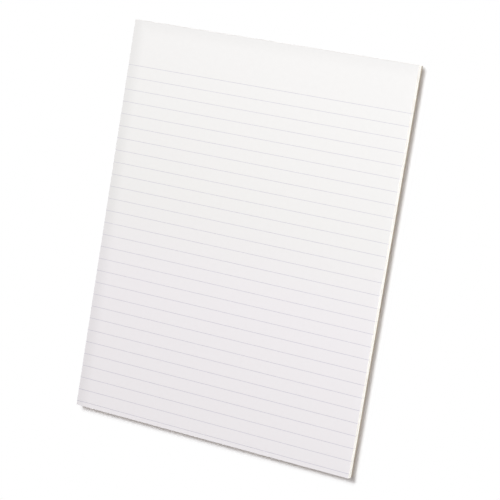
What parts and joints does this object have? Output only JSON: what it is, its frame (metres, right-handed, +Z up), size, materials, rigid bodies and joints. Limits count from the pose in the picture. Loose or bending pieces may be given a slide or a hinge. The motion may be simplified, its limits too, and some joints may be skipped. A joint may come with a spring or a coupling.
{
  "type": "ruled writing pad",
  "caption": "Glue-top legal pad: white letter-size sheets with pale blue rules, gummed at the head to a chipboard back.",
  "frame": {"origin": "on the desk, under the middle of the pad", "axes": "+X to the right of the page, +Y to the gummed head, +Z up out of the page"},
  "size_m": [0.216, 0.2798, 0.007],
  "materials": {
    "paper": "uncoated white writing paper",
    "ink": "pale blue printed ruling",
    "chipboard": "grey-brown recycled chipboard",
    "glue": "dried padding glue, satin"
  },
  "bodies": {
    "root": {"ruled_sheets": "paper", "rule_lines": "ink", "backing_board": "chipboard", "padding_glue": "glue"}
  },
  "joints": []
}
